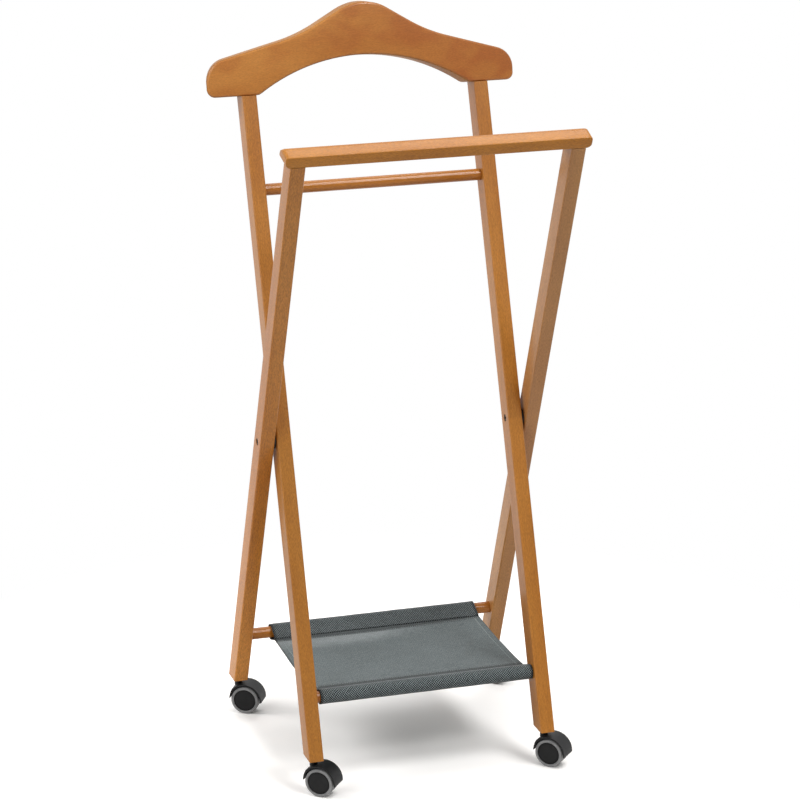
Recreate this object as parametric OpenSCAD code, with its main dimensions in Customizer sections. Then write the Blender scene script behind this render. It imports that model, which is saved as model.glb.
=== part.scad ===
// Folding clothes valet on casters.
// Two leg frames cross like scissors and turn on one pivot at each side. The inner frame carries the
// coat hanger board and the trouser bar, the outer frame carries the top rail, and a cloth shelf
// stretched between two low dowels stops the frames when they are fully open.
// Units are millimetres. +Z is up, the front faces -Y, and +X is to the right as seen from the front. The
// origin is on the floor, under the middle of the open valet.

/* [Leg frames] */
// Lean of each leg from the vertical when the valet stands open, in degrees
lean = 20.4; // [14:0.1:26]
// Height of the pivot axis above the feet of the legs
pivot_rise = 399.2; // [330:0.1:470]
// Distance of the pivot axis in front of the middle of the open valet
pivot_forward = 6; // [0:0.5:30]
// Width of a leg, along the pivot axis
leg_w = 20; // [18:0.5:26]
// Depth of a leg, across the pivot axis
leg_d = 30; // [26:0.5:38]
// Radius of the long edges of a leg
leg_round = 2; // [0.5:0.1:3]
// Distance between the outer faces of the two inner legs
inner_frame_w = 347.2; // [300:0.1:420]
// Running gap between an inner leg and the outer leg beside it
leg_gap = 3.7; // [2:0.1:6]

/* [Hanger board] */
// Overall width of the hanger board
hanger_w = 435; // [380:0.5:460]
// Thickness of the hanger board
hanger_t = 30; // [20:0.5:34]
// Lean of the board from the vertical, in degrees: it stands more upright than its legs
board_lean = 12.7; // [8:0.1:20.4]
// Radius of the board's front face, seen from above: its two ends are swept back
board_bend_r = 910; // [800:10:3000]
// Distance of the board's front face behind the front of the legs, at the legs
board_set_back = 2; // [0:0.1:5]
// Distance that the board sits to the left of the middle of the legs
board_shift = 1; // [0:0.1:3]
// Distance from the pivot to the board's front lower edge, along the inner legs
hanger_seat = 461.3; // [440:0.1:520]
// Height of the sharp peak that the crest is rounded from, above the seat
crest_peak = 124.9; // [110:0.1:140]
// Slope of the crest's flanks, in degrees
crest_slope = 29.8; // [26:0.1:34]
// Radius of the crest
crest_r = 66; // [40:0.5:80]
// Slope of the shoulders, in degrees
shoulder_slope = 14.6; // [8:0.1:18]
// Height above the seat of the sharp corner that the shoulder's end is rounded from
shoulder_end_h = 40.1; // [38:0.1:46]
// Radius of the hollow between crest and shoulder
hollow_r = 219; // [60:1:230]
// Radius of the shoulder's end
shoulder_end_r = 30; // [16:0.5:31]
// Radius of the lower corner at each end
lower_end_r = 11; // [5:0.5:12]
// Height of the arch under the board, above the seat
arch_h = 45.8; // [30:0.5:50]
// Radius of the arch
arch_r = 264; // [240:1:290]
// Radius of the corner where the arch meets the seat
arch_corner_r = 10; // [5:0.5:12]

/* [Top rail] */
// Overall length of the top rail
rail_l = 408.6; // [360:0.2:460]
// Height of the top rail
rail_h = 16.3; // [13:0.1:24]
// Distance from the pivot to the top of the rail, along the outer legs
rail_top = 462.6; // [430:0.2:520]
// Radius of the rail's back upper edge, that clothes hang over
rail_back_r = 12; // [6:0.5:13]
// Radius of the rail's lower corners at its two ends
rail_end_r = 7; // [3:0.5:10]
// Radius of the rail's upper corners at its two ends
rail_top_end_r = 4; // [1:0.5:5]

/* [Bars and dowels] */
// Diameter of the trouser bar
trouser_bar_d = 16; // [12:0.5:20]
// Distance from the pivot to the trouser bar, up along the inner legs
trouser_bar_at = 335.4; // [280:0.2:400]
// Diameter of the two shelf dowels
shelf_dowel_d = 16; // [12:0.5:20]
// Distance from the pivot to a shelf dowel, down along the legs
shelf_dowel_at = 347; // [310:0.5:360]
// Depth of the sockets that hold the bars in the legs
bar_socket = 10; // [6:0.5:14]
// Diameter of the hidden joint pins under the hanger board and the top rail
joint_pin_d = 6; // [5:0.5:7]
// Length of a joint pin that is glued in the leg
joint_pin_in_leg = 20; // [14:0.5:30]
// Length of a joint pin that is glued in the board or the rail
joint_pin_in_top = 11; // [8:0.5:12]
// Distance between the two joint pins of one leg
joint_pin_pitch = 10; // [9:0.5:12]

/* [Pivots] */
// Diameter of the heads of the pivot sleeve and the pivot bolt
pivot_head_d = 10; // [9:0.2:13]
// Thickness of those heads
pivot_head_t = 2; // [1.5:0.1:3]
// Depth of a head below the face of the leg
pivot_head_recess = 0.6; // [0.2:0.1:1.5]
// Outer diameter of the pivot sleeve
pivot_sleeve_d = 8; // [7:0.1:8.5]
// Diameter of the bolt's shank inside the sleeve
pivot_bolt_d = 5; // [4:0.1:6]
// Depth of the sleeve's end inside the inner leg
pivot_sleeve_reach = 14; // [8:0.5:16]
// Width across the flats of the hexagon socket in each head
pivot_hex = 4; // [3:0.5:5]
// Outer diameter of the washer between the legs
pivot_washer_d = 22; // [16:0.5:28]

/* [Cloth shelf] */
// Total play of the cloth between the two inner legs
cloth_play = 6.4; // [6:0.2:40]
// Distance that the cloth has slid to the right along its dowels
cloth_shift = 2.6; // [-1:0.1:3]
// Thickness of one layer of cloth
cloth_t = 1.1; // [0.6:0.1:1.5]
// Clearance between a dowel and the cloth sleeve around it
sleeve_ease = 0.4; // [0.3:0.1:1]
// Distance from the middle of a dowel to the seam that closes its sleeve
seam_reach = 27; // [20:0.5:34]
// Drop of the seam below the middle of the dowel
seam_drop = 1.5; // [0:0.1:3]
// Further sag of the cloth between the two seams
cloth_sag = 3; // [1:0.5:8]
// Width of the turned hem along each side of the cloth
side_hem = 10; // [6:0.5:14]

/* [Casters] */
// Diameter of the wheels
wheel_d = 40; // [36:0.5:50]
// Height from the axle to the foot of the leg
caster_rise = 31; // [30:0.2:40]
// Distance from the swivel axis to the axle
trail = 12; // [10:0.2:16]
// Distance between the outer faces of the two treads of one caster
wheel_span = 24; // [22:0.5:32]
// Diameter of the hub inside the tread
hub_d = 30.8; // [24:0.2:34]
// Depth of the hub's face inside the face of the tread
hub_inset = 0.8; // [0.3:0.1:2]
// Overall width of the hood
hood_w = 27; // [26:0.2:38]
// Outer radius of the hood about the axle
hood_r = 24.7; // [24:0.1:30]
// Thickness of the hood's wall at its top and back
hood_wall = 2.1; // [1.5:0.1:3]
// Thickness of the web between the two wheels
web_t = 3.6; // [3:0.1:5]
// Diameter of the axle pin
axle_d = 4; // [3:0.1:5]
// Diameter of the boss that turns on the stem
boss_d = 10.8; // [9.5:0.1:13]
// Diameter of the stem's journal in the boss
journal_d = 6; // [5:0.1:7]
// Diameter of the stem inside its socket
stem_d = 8; // [6:0.1:9]
// Length of the stem inside its socket
stem_l = 21; // [16:0.5:24]
// Thickness of the stem's collar under the foot
collar_t = 1.2; // [0.8:0.1:2]
// Outer diameter of the socket sleeve in the leg
socket_d = 10; // [9:0.1:11]

/* [Caster headings] */
// Direction in which the front left caster trails, in degrees from +X
heading_front_left = -40; // [-180:1:180]
// Direction in which the front right caster trails
heading_front_right = -44; // [-180:1:180]
// Direction in which the rear left caster trails
heading_rear_left = -31; // [-180:1:180]
// Direction in which the rear right caster trails
heading_rear_right = -45; // [-180:1:180]

/* [Fits] */
// Radial clearance of a part that turns on another
running_fit = 0.05; // [0.02:0.01:0.1]
// Radial clearance of a part that is glued or pressed into a hole
glued_fit = 0.02; // [0.01:0.01:0.05]
// Gap between two faces that slide past each other
slide_gap = 0.1; // [0.05:0.05:0.3]
// Gap between a wheel and the web beside it
wheel_gap = 0.5; // [0.3:0.1:0.8]
// Gap between a tread and the hub that it is moulded on
tread_gap = 0.3; // [0.2:0.05:0.4]

/* [Hidden] */
CORNERS = ["front_left", "front_right", "rear_left", "rear_right"];
SIDES = ["left", "right"];
CASTER_PIECES = ["stem", "hood", "axle", "near_hub", "near_tread", "far_hub", "far_tread"];
FRAME_NODES = [
    "hanger_board", "trouser_bar", "top_rail", "front_shelf_dowel", "rear_shelf_dowel",
    "inner_leg_left", "inner_leg_right", "outer_leg_left", "outer_leg_right",
    "hanger_joint_pins", "rail_joint_pins", "front_caster_sockets", "rear_caster_sockets",
    "pivot_sleeve_left", "pivot_sleeve_right", "pivot_bolt_left", "pivot_bolt_right",
    "pivot_washer_left", "pivot_washer_right", "front_cloth_sleeve", "rear_cloth_sleeve", "shelf_cloth"
];

$fn = 72;
EPS = 0.01;
WOOD = [0.74, 0.50, 0.26];
PALE_WOOD = [0.80, 0.62, 0.42];
CLOTH = [0.38, 0.43, 0.43];
DARK_CLOTH = [0.28, 0.32, 0.33];
BLACK = [0.13, 0.13, 0.13];
TREAD_GREY = [0.52, 0.52, 0.52];
STEEL = [0.66, 0.67, 0.69];
BRONZE = [0.22, 0.18, 0.15];

// The two frames
foot_z = wheel_d / 2 + caster_rise;
pivot = [0, -pivot_forward, foot_z + pivot_rise];
foot_y = pivot_rise * tan(lean);
inner_x = inner_frame_w / 2 - leg_w / 2;
outer_x = inner_frame_w / 2 + leg_gap + leg_w / 2;
inner_clear = inner_frame_w / 2 - leg_w;
outer_clear = inner_frame_w / 2 + leg_gap;
leg_below = pivot_rise / cos(lean) + leg_d;
rail_seat = rail_top - rail_h;
// The seat is cut square to the board, so it crosses the leg's middle line a little higher than at its front
board_face_n = board_set_back - leg_d / 2;
pin_seat = hanger_seat - board_face_n * tan(lean - board_lean);
// Height above the seat where the lines of the two shoulders would meet
shoulder_peak = shoulder_end_h + hanger_w / 2 * tan(shoulder_slope);
board_bulge = board_bend_r - sqrt(board_bend_r * board_bend_r - inner_x * inner_x);
// Each pivot, measured outwards along X from the inner face of the inner leg
counterbore_t = pivot_head_t + pivot_head_recess;
pivot_outer_face = outer_clear + leg_w;
sleeve_end = inner_clear + leg_w - pivot_sleeve_reach;
// The cloth
cloth_w = 2 * inner_clear - cloth_play;
sleeve_in_r = shelf_dowel_d / 2 + sleeve_ease;
sleeve_out_r = sleeve_in_r + cloth_t;
shelf_z = pivot[2] - shelf_dowel_at * cos(lean);
shelf_y = shelf_dowel_at * sin(lean);
seam_y = shelf_y - seam_reach;
seam_z = shelf_z - seam_drop;
sag_r = (seam_y * seam_y + cloth_sag * cloth_sag) / (2 * cloth_sag);
// The casters
wheel_r = wheel_d / 2;
wheel_in = web_t / 2 + wheel_gap;
wheel_out = wheel_span / 2;
hub_out = wheel_out - hub_inset;
boss_top = caster_rise - collar_t - slide_gap;
boss_bottom = wheel_r - 0.4;
journal_end = boss_bottom + 1;

// ---- Shapes shared by several pieces ----

// A bar's section: w along X and d along Y, with its four corners rounded
module rounded_section(w, d, r) {
    square([w - 2 * r, d], center = true);
    square([w, d - 2 * r], center = true);
    for (x = [-1, 1], y = [-1, 1])
        translate([x * (w / 2 - r), y * (d / 2 - r)]) circle(r);
}

// A round rod or hole of radius r that lies along X from x0 to x1
module rod_x(r, x0, x1) {
    translate([x0, 0, 0]) rotate([0, 90, 0]) cylinder(r = r, h = x1 - x0);
}

// Puts a piece that is drawn about the pivot, with Z up along the leg, on the inner or the outer frame
module on_inner_frame() {
    translate(pivot) rotate([-lean, 0, 0]) children();
}

module on_outer_frame() {
    translate(pivot) rotate([lean, 0, 0]) children();
}

// Puts a piece that is drawn on the board's seat: Z up in the board, Y back from its front face at the legs
module on_board() {
    on_inner_frame() translate([0, board_face_n, hanger_seat]) rotate([lean - board_lean, 0, 0]) children();
}

// Everything below the feet of the legs, which the horizontal cut takes off
module below_feet() {
    span = 3 * outer_x;
    translate([-span / 2, -span, foot_z - 2 * leg_d]) cube([span, 2 * span, 2 * leg_d]);
}

// The points of an arc about c from angle a0 to a1, without its last point
function arc(c, r, a0, a1, steps) =
    [for (i = [0 : steps - 1]) c + r * [cos(a0 + (a1 - a0) * i / steps), sin(a0 + (a1 - a0) * i / steps)]];

// ---- Legs ----

// The hole of a pivot sleeve through an outer leg, with the seat of its head, at the right-hand side
module outer_pivot_hole() {
    rod_x(pivot_sleeve_d / 2 + glued_fit, outer_clear - 1, pivot_outer_face + 1);
    rod_x(pivot_head_d / 2 + glued_fit, pivot_outer_face - counterbore_t, pivot_outer_face + 1);
}

// The same through an inner leg: the sleeve turns in it, and the bolt's head turns in its seat
module inner_pivot_hole() {
    rod_x(pivot_sleeve_d / 2 + running_fit, inner_clear - 1, inner_clear + leg_w + 1);
    rod_x(pivot_head_d / 2 + slide_gap, inner_clear - 1, inner_clear + counterbore_t);
}

module joint_pin_places(x) {
    for (s = [-1, 1]) translate([x + s * joint_pin_pitch / 2, 0, 0]) children();
}

// The upright hole for a caster socket in the foot of a leg
module socket_hole(x, y) {
    translate([x, y, foot_z - 1]) cylinder(r = socket_d / 2 + glued_fit, h = stem_l + 3);
}

module inner_leg(side) {
    x = side * inner_x;
    color(WOOD) difference() {
        on_inner_frame() difference() {
            translate([x, 0, -leg_below])
                linear_extrude(leg_below + hanger_seat + leg_d / 2) rounded_section(leg_w, leg_d, leg_round);
            scale_side(side) inner_pivot_hole();
            for (s = [trouser_bar_at, -shelf_dowel_at])
                scale_side(side) translate([0, 0, s])
                    rod_x((s > 0 ? trouser_bar_d : shelf_dowel_d) / 2 + glued_fit,
                        inner_clear - 1, inner_clear + bar_socket + slide_gap);
            joint_pin_places(x) translate([0, 0, pin_seat - joint_pin_in_leg - slide_gap])
                cylinder(r = joint_pin_d / 2 + glued_fit, h = joint_pin_in_leg + leg_d);
        }
        on_board() translate([-outer_x, -leg_d, 0]) cube([2 * outer_x, 3 * leg_d, 2 * leg_d]);
        below_feet();
        socket_hole(x, pivot[1] - foot_y);
    }
}

module outer_leg(side) {
    x = side * outer_x;
    color(WOOD) difference() {
        on_outer_frame() difference() {
            translate([x, 0, -leg_below])
                linear_extrude(leg_below + rail_seat) rounded_section(leg_w, leg_d, leg_round);
            scale_side(side) outer_pivot_hole();
            scale_side(side) translate([0, 0, -shelf_dowel_at])
                rod_x(shelf_dowel_d / 2 + glued_fit, outer_clear - 1, outer_clear + bar_socket + slide_gap);
            joint_pin_places(x) translate([0, 0, rail_seat - joint_pin_in_leg - slide_gap])
                cylinder(r = joint_pin_d / 2 + glued_fit, h = joint_pin_in_leg + 1);
        }
        below_feet();
        socket_hole(x, pivot[1] + foot_y);
    }
}

// Keeps a shape drawn at the right-hand side there, or mirrors it to the left
module scale_side(side) {
    if (side > 0) children();
    else mirror([1, 0, 0]) children();
}

// ---- Hanger board ----

// The board's outline is a ring of arcs. Each vertex [x, z, r] is rounded to radius r, and arcs are
// worked out from the straight sides that meet there.
shoulder_x = hanger_w / 2;
shoulder_z = shoulder_end_h;
hollow_x = (crest_peak - shoulder_peak) / (tan(crest_slope) - tan(shoulder_slope));
hollow_z = crest_peak - hollow_x * tan(crest_slope);
arch_z = arch_h - arch_r;
arch_foot_x = sqrt(arch_r * arch_r - arch_z * arch_z);
board_vertices = [
    [0, crest_peak, crest_r, 16],
    [-hollow_x, hollow_z, hollow_r, 10],
    [-shoulder_x, shoulder_z, shoulder_end_r, 12],
    [-shoulder_x, 0, lower_end_r, 8],
    [shoulder_x, 0, lower_end_r, 8],
    [shoulder_x, shoulder_z, shoulder_end_r, 12],
    [hollow_x, hollow_z, hollow_r, 10]
];

function unit(v) = v / norm(v);
function cross2(a, b) = a[0] * b[1] - a[1] * b[0];

// The arc that rounds the corner at b between the sides from a and to c
function corner(a, b, c, r, steps) =
    let (u = unit(a - b), v = unit(c - b), half = acos(u * v) / 2, back = r / tan(half))
    let (centre = b + unit(u + v) * r / sin(half), p = b + u * back - centre, q = b + v * back - centre)
    let (a0 = atan2(p[1], p[0]), turn = atan2(cross2(p, q), p * q))
    [for (i = [0 : steps]) centre + r * [cos(a0 + turn * i / steps), sin(a0 + turn * i / steps)]];

function xz(v) = [v[0], v[1]];
function board_arcs(i) =
    let (n = len(board_vertices), v = board_vertices[i])
    corner(xz(board_vertices[(i + n - 1) % n]), xz(v), xz(board_vertices[(i + 1) % n]), v[2], v[3]);

// The small arc where the arch meets the flat seat: it touches the seat and the arch from within the wood
corner_z = arch_corner_r;
corner_x = sqrt(pow(arch_r + arch_corner_r, 2) - pow(corner_z - arch_z, 2));
corner_turn = atan2(corner_z - arch_z, corner_x);
function arch_side(side) =
    let (a = [for (i = [0 : 5]) -90 - (90 - corner_turn) * i / 5])
    [for (t = a) [side * (corner_x + arch_corner_r * cos(t)), corner_z + arch_corner_r * sin(t)]];
arch_arc = [for (i = [1 : 23]) let (t = corner_turn + (180 - 2 * corner_turn) * i / 24)
    [arch_r * cos(t), arch_z + arch_r * sin(t)]];
function reversed(list) = [for (i = [len(list) - 1 : -1 : 0]) list[i]];

// Anticlockwise seen with X to the right and Z up: crest, left end, seat, arch, seat, right end
board_outline = concat(
    board_arcs(0), board_arcs(1), board_arcs(2), board_arcs(3),
    arch_side(-1), reversed(arch_arc), reversed(arch_side(1)),
    board_arcs(4), board_arcs(5), board_arcs(6)
);

// The board seen from above: a band between two arcs, with its front face at y = 0 over the legs
module board_plan() {
    translate([0, board_bend_r - board_bulge]) difference() {
        circle(board_bend_r, $fn = 720);
        circle(board_bend_r - hanger_t, $fn = 720);
    }
}

module hanger_board() {
    color(WOOD) difference() {
        on_board() intersection() {
            translate([-board_shift, 0, 0]) rotate([90, 0, 0])
                translate([0, 0, -3 * hanger_t]) linear_extrude(6 * hanger_t) polygon(board_outline);
            translate([0, 0, -1]) linear_extrude(crest_peak) intersection() {
                board_plan();
                square([2 * hanger_w, 6 * hanger_t], center = true);
            }
        }
        on_inner_frame() for (side = [-1, 1]) joint_pin_places(side * inner_x)
            translate([0, 0, pin_seat - leg_d / 2])
                cylinder(r = joint_pin_d / 2 + glued_fit, h = leg_d / 2 + joint_pin_in_top + slide_gap);
    }
}

// ---- Rail, bars and joint pins ----

// The rail's section with Y to the back: square at the front, with a wide round at the back upper edge
module rail_section() {
    difference() {
        translate([-leg_d / 2, 0]) square([leg_d, rail_h]);
        translate([leg_d / 2 - rail_back_r, rail_h - rail_back_r]) difference() {
            square(2 * rail_back_r);
            circle(rail_back_r);
        }
    }
}

// The rail's front view: its two ends have round corners, larger below than above
module rail_face() {
    hull() for (side = [-1, 1]) {
        translate([side * (rail_l / 2 - rail_end_r), rail_end_r]) circle(rail_end_r);
        translate([side * (rail_l / 2 - rail_top_end_r), rail_h - rail_top_end_r]) circle(rail_top_end_r);
    }
}

module top_rail() {
    color(WOOD) on_outer_frame() difference() {
        translate([0, 0, rail_seat]) intersection() {
            rotate([90, 0, 90]) translate([0, 0, -rail_l / 2 - 1]) linear_extrude(rail_l + 2) rail_section();
            rotate([90, 0, 0]) translate([0, 0, -leg_d]) linear_extrude(2 * leg_d) rail_face();
        }
        for (side = [-1, 1]) joint_pin_places(side * outer_x) translate([0, 0, rail_seat - 1])
            cylinder(r = joint_pin_d / 2 + glued_fit, h = joint_pin_in_top + 1 + slide_gap);
    }
}

module trouser_bar() {
    color(WOOD) on_inner_frame() translate([0, 0, trouser_bar_at])
        rod_x(trouser_bar_d / 2, -inner_clear - bar_socket, inner_clear + bar_socket);
}

module front_shelf_dowel() {
    color(WOOD) on_inner_frame() translate([0, 0, -shelf_dowel_at])
        rod_x(shelf_dowel_d / 2, -inner_clear - bar_socket, inner_clear + bar_socket);
}

module rear_shelf_dowel() {
    color(WOOD) on_outer_frame() translate([0, 0, -shelf_dowel_at])
        rod_x(shelf_dowel_d / 2, -outer_clear - bar_socket, outer_clear + bar_socket);
}

// Four pins across one seat, two over each leg
module joint_pins(x, seat) {
    color(PALE_WOOD) for (side = [-1, 1]) joint_pin_places(side * x)
        translate([0, 0, seat - joint_pin_in_leg])
            cylinder(r = joint_pin_d / 2, h = joint_pin_in_leg + joint_pin_in_top);
}

module hanger_joint_pins() {
    on_inner_frame() joint_pins(inner_x, pin_seat);
}

module rail_joint_pins() {
    on_outer_frame() joint_pins(outer_x, rail_seat);
}

// ---- Pivots ----

// A hexagon socket sunk 1.2 mm into a head whose outer face is at x, for a key that comes along X
module hex_socket(x) {
    translate([x - 1.2, 0, 0]) rotate([0, 90, 0]) cylinder(r = pivot_hex / 2 / cos(30), h = 2.4, $fn = 6);
}

// The sleeve nut: its head is sunk in the outer leg, and its barrel is the pin that the inner leg turns on
module pivot_sleeve(side) {
    head_face = pivot_outer_face - pivot_head_recess;
    color(BRONZE) on_outer_frame() scale_side(side) difference() {
        union() {
            rod_x(pivot_sleeve_d / 2, sleeve_end, head_face - EPS);
            rod_x(pivot_head_d / 2, head_face - pivot_head_t, head_face);
        }
        rod_x(pivot_bolt_d / 2 + glued_fit, sleeve_end - 1, head_face - pivot_head_t);
        hex_socket(head_face);
    }
}

// The bolt comes from inside the valet and is screwed into the sleeve
module pivot_bolt(side) {
    head_face = inner_clear + pivot_head_recess;
    color(BRONZE) on_outer_frame() scale_side(side) difference() {
        union() {
            rod_x(pivot_bolt_d / 2, head_face + EPS, outer_clear + leg_w / 2);
            rod_x(pivot_head_d / 2, head_face, head_face + pivot_head_t - slide_gap);
        }
        hex_socket(head_face);
    }
}

module pivot_washer(side) {
    color(BLACK) on_outer_frame() scale_side(side) difference() {
        rod_x(pivot_washer_d / 2, inner_clear + leg_w + slide_gap, outer_clear);
        rod_x(pivot_sleeve_d / 2 + glued_fit, inner_clear, outer_clear + 1);
    }
}

// ---- Cloth shelf ----

// A cloth sleeve in section, with its dowel at the origin and the seam towards +X: a tube that tapers
// into the two layers sewn together at the seam
module cloth_sleeve_section() {
    reach = norm([seam_reach, seam_drop]);
    touch = acos((sleeve_out_r - cloth_t) / reach);
    rotate(-atan(seam_drop / seam_reach)) difference() {
        union() {
            circle(sleeve_out_r);
            polygon([
                sleeve_out_r * [cos(touch), sin(touch)], sleeve_out_r * [cos(touch), -sin(touch)],
                [reach, -cloth_t], [reach, cloth_t]
            ]);
        }
        circle(sleeve_in_r);
    }
}

module cloth_sleeve() {
    rotate([90, 0, 90]) translate([0, 0, cloth_shift - cloth_w / 2]) linear_extrude(cloth_w)
        cloth_sleeve_section();
}

module front_cloth_sleeve() {
    color(DARK_CLOTH) translate([0, pivot[1] - shelf_y, shelf_z]) cloth_sleeve();
}

module rear_cloth_sleeve() {
    color(DARK_CLOTH) translate([0, pivot[1] + shelf_y, shelf_z]) mirror([0, 1, 0]) cloth_sleeve();
}

// The sagging layer between the seams in section, from -t/2 to t/2 about the middle of the cloth
module sagging_layer(t) {
    half = seam_y - slide_gap;
    difference() {
        translate([0, sag_r - cloth_sag]) circle(sag_r + t / 2, $fn = 360);
        translate([0, sag_r - cloth_sag]) circle(sag_r - t / 2, $fn = 360);
        translate([-2 * sag_r, 2 * cloth_t]) square(4 * sag_r);
        for (side = [-1, 1]) translate([side * (half + 2 * sag_r), 0]) square(4 * sag_r, center = true);
    }
}

module shelf_cloth() {
    color(CLOTH) translate([cloth_shift, pivot[1], seam_z]) rotate([90, 0, 90]) {
        translate([0, 0, -cloth_w / 2]) linear_extrude(cloth_w) sagging_layer(cloth_t);
        for (x = [-cloth_w / 2, cloth_w / 2 - side_hem])
            translate([0, 0, x]) linear_extrude(side_hem) sagging_layer(2 * cloth_t);
    }
}

// ---- Casters ----

// Each corner's place: [x, y, heading]
function corner_at(c) =
    c == "front_left" ? [-inner_x, pivot[1] - foot_y, heading_front_left] :
    c == "front_right" ? [inner_x, pivot[1] - foot_y, heading_front_right] :
    c == "rear_left" ? [-outer_x, pivot[1] + foot_y, heading_rear_left] :
    [outer_x, pivot[1] + foot_y, heading_rear_right];

// Puts a caster piece in place: drawn about the axle, with the caster trailing along +X and Z up
module at_corner(c) {
    p = corner_at(c);
    translate([p[0], p[1], wheel_r]) rotate(p[2]) translate([trail, 0, 0]) children();
}

// The sockets of one frame, pressed into the feet of its two legs
module caster_sockets(x, y) {
    color(STEEL) for (side = [-1, 1]) translate([side * x, y, foot_z]) difference() {
        cylinder(r = socket_d / 2, h = stem_l + 1);
        translate([0, 0, -1]) cylinder(r = stem_d / 2 + glued_fit, h = stem_l + 3);
    }
}

// The stem is pressed into its socket up to the collar, and the hood turns on its journal
module caster_stem(c) {
    color(STEEL) at_corner(c) translate([-trail, 0, 0]) {
        translate([0, 0, journal_end]) cylinder(r = journal_d / 2, h = caster_rise - journal_end);
        translate([0, 0, caster_rise - collar_t]) cylinder(r = boss_d / 2 - 0.4, h = collar_t);
        translate([0, 0, caster_rise - EPS]) cylinder(r = stem_d / 2, h = stem_l + EPS);
    }
}

// The hood in side view. A flatter arc cuts the round hood to a thin lip on the stem's side, and a
// slanting line ends it just above the axle.
module hood_outline() {
    lip_r = 32;
    intersection() {
        circle(hood_r);
        translate([lip_r - hood_r + 2.9, 1.8]) circle(lip_r, $fn = 180);
        rotate(-5) translate([-2 * hood_r, 1]) square(4 * hood_r);
    }
}

// The space inside the hood: off centre, so that the wall thins out towards the lip
module hood_hollow() {
    translate([1, 0.9]) circle(hood_r - hood_wall - 0.9);
}

// A layer of the caster's side view, w wide across the wheels
module caster_layer(w) {
    rotate([90, 0, 0]) translate([0, 0, -w / 2]) linear_extrude(w) children();
}

module caster_hood(c) {
    color(BLACK) at_corner(c) difference() {
        union() {
            caster_layer(hood_w) difference() {
                hood_outline();
                hood_hollow();
            }
            caster_layer(web_t) {
                hood_outline();
                circle(axle_d / 2 + 3);
            }
            translate([-trail, 0, boss_bottom]) cylinder(r = boss_d / 2, h = boss_top - boss_bottom);
        }
        translate([-trail, 0, journal_end - slide_gap]) cylinder(r = journal_d / 2 + running_fit, h = caster_rise);
        caster_layer(2 * web_t) circle(axle_d / 2 + glued_fit);
    }
}

module caster_axle(c) {
    color(STEEL) at_corner(c) caster_layer(2 * (hub_out - 2 * hub_inset)) circle(axle_d / 2);
}

// Turns a wheel's section, drawn with X as the radius and Y as the distance from the web, about the axle.
// The near wheel is the one on the caster's right as it trails.
module wheel(c, side) {
    at_corner(c) rotate([side > 0 ? 90 : -90, 0, 0]) rotate_extrude() children();
}

module caster_hub(c, side) {
    bore_end = hub_out - 1.5 * hub_inset;
    color(BLACK) wheel(c, side) {
        difference() {
            translate([0, wheel_in]) square([hub_d / 2, hub_out - wheel_in]);
            translate([-1, wheel_in - 1]) square([axle_d / 2 + running_fit + 1, bore_end - wheel_in + 1]);
            // The shallow ring groove just inside the rim
            translate([hub_d / 2 - 1.6, hub_out - 0.3]) square([0.6, 1]);
        }
    }
}

// The tread is moulded on the hub. Its outer shoulder is round, and a fine groove runs round its face.
module caster_tread(c, side) {
    shoulder = 2.6;
    inner_r = hub_d / 2 + tread_gap;
    color(TREAD_GREY) wheel(c, side) difference() {
        union() {
            translate([inner_r, wheel_in]) square([wheel_r - inner_r, wheel_out - shoulder - wheel_in]);
            translate([inner_r, wheel_in]) square([wheel_r - shoulder - inner_r, wheel_out - wheel_in]);
            translate([wheel_r - shoulder, wheel_out - shoulder]) circle(shoulder);
        }
        translate([hub_d / 2 + 1.5, wheel_out - 0.35]) square([0.45, 1]);
    }
}

// ---- The parts, one at a time or all together ----

hanger_board();
trouser_bar();
top_rail();
front_shelf_dowel();
rear_shelf_dowel();
inner_leg(-1);  // inner_leg_left
inner_leg(1);  // inner_leg_right
outer_leg(-1);  // outer_leg_left
outer_leg(1);  // outer_leg_right
hanger_joint_pins();
rail_joint_pins();
caster_sockets(inner_x, pivot[1] - foot_y);  // front_caster_sockets
caster_sockets(outer_x, pivot[1] + foot_y);  // rear_caster_sockets
pivot_sleeve(-1);  // pivot_sleeve_left
pivot_sleeve(1);  // pivot_sleeve_right
pivot_bolt(-1);  // pivot_bolt_left
pivot_bolt(1);  // pivot_bolt_right
pivot_washer(-1);  // pivot_washer_left
pivot_washer(1);  // pivot_washer_right
front_cloth_sleeve();
rear_cloth_sleeve();
shelf_cloth();
for (c = CORNERS) {
    caster_stem(c);
    caster_hood(c);
    caster_axle(c);
    caster_hub(c, 1);
    caster_tread(c, 1);
    caster_hub(c, -1);
    caster_tread(c, -1);
}
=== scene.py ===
import math

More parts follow.
